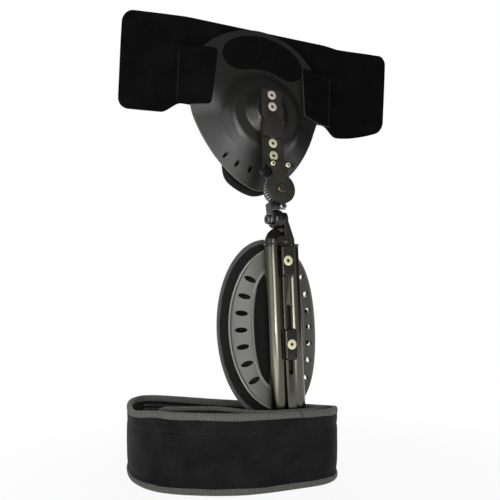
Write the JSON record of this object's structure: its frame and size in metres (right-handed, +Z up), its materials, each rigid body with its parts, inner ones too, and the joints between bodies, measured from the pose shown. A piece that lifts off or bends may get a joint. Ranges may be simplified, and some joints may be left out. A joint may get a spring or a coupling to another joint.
{
  "type": "hip brace",
  "caption": "Hinged hip brace: dished pelvic shell with soft wings, lockable dial hinge and clevis, telescoping upright, vented thigh shell with padded liner, and a soft thigh band.",
  "frame": {"origin": "on the floor, under the middle of the band's front wall, in front of the upright", "axes": "+Z up from the floor, +X to the right as seen from outside the brace, +Y towards the wearer"},
  "size_m": [0.3364, 0.1784, 0.4783],
  "materials": {
    "black_fabric": "loop-faced black fabric over foam",
    "grey_fabric": "grey piped binding",
    "charcoal_plastic": "satin",
    "black_plastic": "satin",
    "black_anodised": "dark anodised, glossy",
    "black_steel": "gloss black",
    "grey_steel": "plain grey steel",
    "bright_steel": "bright",
    "yellow_zinc": "yellow zinc plate",
    "bronze_steel": "dark bronze"
  },
  "bodies": {
    "thigh_cuff": {"thigh_band": "black_fabric", "band_upper_binding": "grey_fabric", "band_lower_binding": "grey_fabric", "band_strap_end": "black_fabric", "thigh_shell": "charcoal_plastic", "thigh_liner": "black_fabric", "liner_piping": "grey_fabric", "left_hook_pad": "black_fabric", "right_hook_pad": "black_fabric", "lower_shell_screw": "bright_steel", "upper_shell_screw": "bright_steel", "thigh_upright": "black_anodised", "upright_end_plug": "black_plastic", "upper_clamp": "black_anodised", "upper_clamp_screw": "yellow_zinc"},
    "slider": {"clevis_cap": "black_steel", "left_guide_rod": "bright_steel", "right_guide_rod": "bright_steel", "slide_bar": "grey_steel", "lower_clamp": "black_anodised", "lower_clamp_screw": "yellow_zinc", "pivot_washer": "bright_steel", "abduction_bolt": "bright_steel"},
    "hip_link": {"lower_arm": "grey_steel", "pivot_drum": "black_steel", "toothed_ring": "bright_steel", "stop_screw": "bright_steel", "hinge_bush": "bronze_steel"},
    "pelvic_half": {"hinge_cover": "black_anodised", "left_cover_screw": "yellow_zinc", "right_cover_screw": "yellow_zinc", "cover_spacer": "black_anodised", "hinge_screw": "bronze_steel", "hinge_nut": "bright_steel", "upper_arm": "black_anodised", "lower_arm_spacer": "black_anodised", "upper_arm_spacer": "black_anodised", "lower_arm_screw": "yellow_zinc", "upper_arm_screw": "yellow_zinc", "lower_arm_nut": "bright_steel", "upper_arm_nut": "bright_steel", "shell_plate": "black_plastic", "lower_plate_screw": "bright_steel", "upper_plate_screw": "bright_steel", "lower_plate_nut": "bright_steel", "upper_plate_nut": "bright_steel", "pelvic_shell": "black_plastic", "pelvic_liner": "black_fabric", "wing_band": "black_fabric", "left_wing_tab": "black_fabric", "right_wing_tab": "black_fabric", "hook_patch": "black_fabric"},
    "lock_lever": {"lock_lever": "grey_steel"}
  },
  "joints": [
    {"name": "height_slide", "type": "slide", "parent": "thigh_cuff", "child": "slider", "axis": [0, 0.0872, 0.9962], "range_m": [0, 0.036]},
    {"name": "abduction", "type": "hinge", "parent": "slider", "child": "hip_link", "pos_m": [0, 0.03255, 0.26355], "axis": [1, 0, 0], "range_deg": [-12, 22]},
    {"name": "flexion", "type": "hinge", "parent": "hip_link", "child": "pelvic_half", "pos_m": [0, 0.04076, 0.29245], "axis": [0, 0.9744, -0.225], "range_deg": [-30, 90]},
    {"name": "lock_lever_turn", "type": "hinge", "parent": "pelvic_half", "child": "lock_lever", "pos_m": [-0.00706, 0.04655, 0.3175], "axis": [0, 0.9744, -0.225], "range_deg": [0, 18], "stiffness_Nm_per_rad": 0.02, "springref_deg": -20.05}
  ]
}
